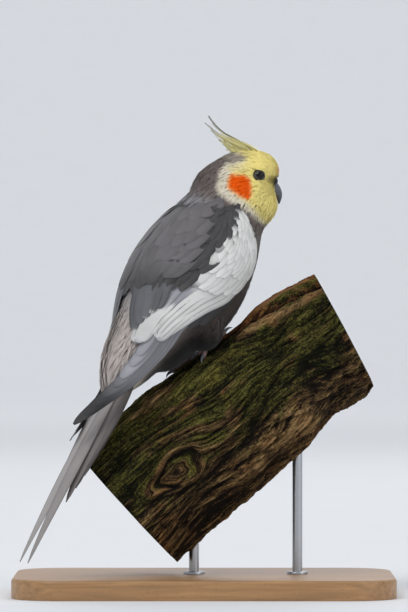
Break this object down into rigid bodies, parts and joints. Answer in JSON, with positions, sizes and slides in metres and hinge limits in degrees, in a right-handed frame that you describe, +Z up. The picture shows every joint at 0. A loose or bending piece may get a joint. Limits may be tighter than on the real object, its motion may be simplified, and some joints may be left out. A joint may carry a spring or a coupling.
{
  "type": "cockatiel display model",
  "caption": "Life-size still model of a perched cockatiel on a cut length of thick limb, held by a flat base and two rods.",
  "frame": {"origin": "middle of the stand's underside, on the floor", "axes": "+Z up, and the model's longest extent; the bird looks towards +X, turned 32 degrees towards +Y; the picture's camera looks along +Y"},
  "size_m": [0.228, 0.148, 0.288],
  "materials": {
    "grey_plumage": "grey body feathers",
    "wing_plumage": "slate and white wing feathers",
    "tail_plumage": "pearl grey tail feathers",
    "face_plumage": "yellow face feathers with an orange cheek patch",
    "eye": "glossy dark eye",
    "horn": "blue-grey horn",
    "foot": "scaly grey-pink skin and dark claws",
    "bark": "rough brown bark with moss",
    "base_wood": "oiled wood",
    "steel": "brushed"
  },
  "bodies": {
    "root": {"stand_base": "base_wood", "stand_rod_left": "steel", "stand_rod_right": "steel", "perch": "bark", "torso": "grey_plumage", "rump": "grey_plumage", "neck": "grey_plumage", "leg_left": "grey_plumage", "leg_right": "grey_plumage", "head": "face_plumage", "eye_left": "eye", "eye_right": "eye", "cere": "horn", "upper_bill": "horn", "lower_bill": "horn", "wing_left": "wing_plumage", "wing_right": "wing_plumage", "tail": "tail_plumage", "foot_left": "foot", "foot_right": "foot"}
  },
  "joints": []
}
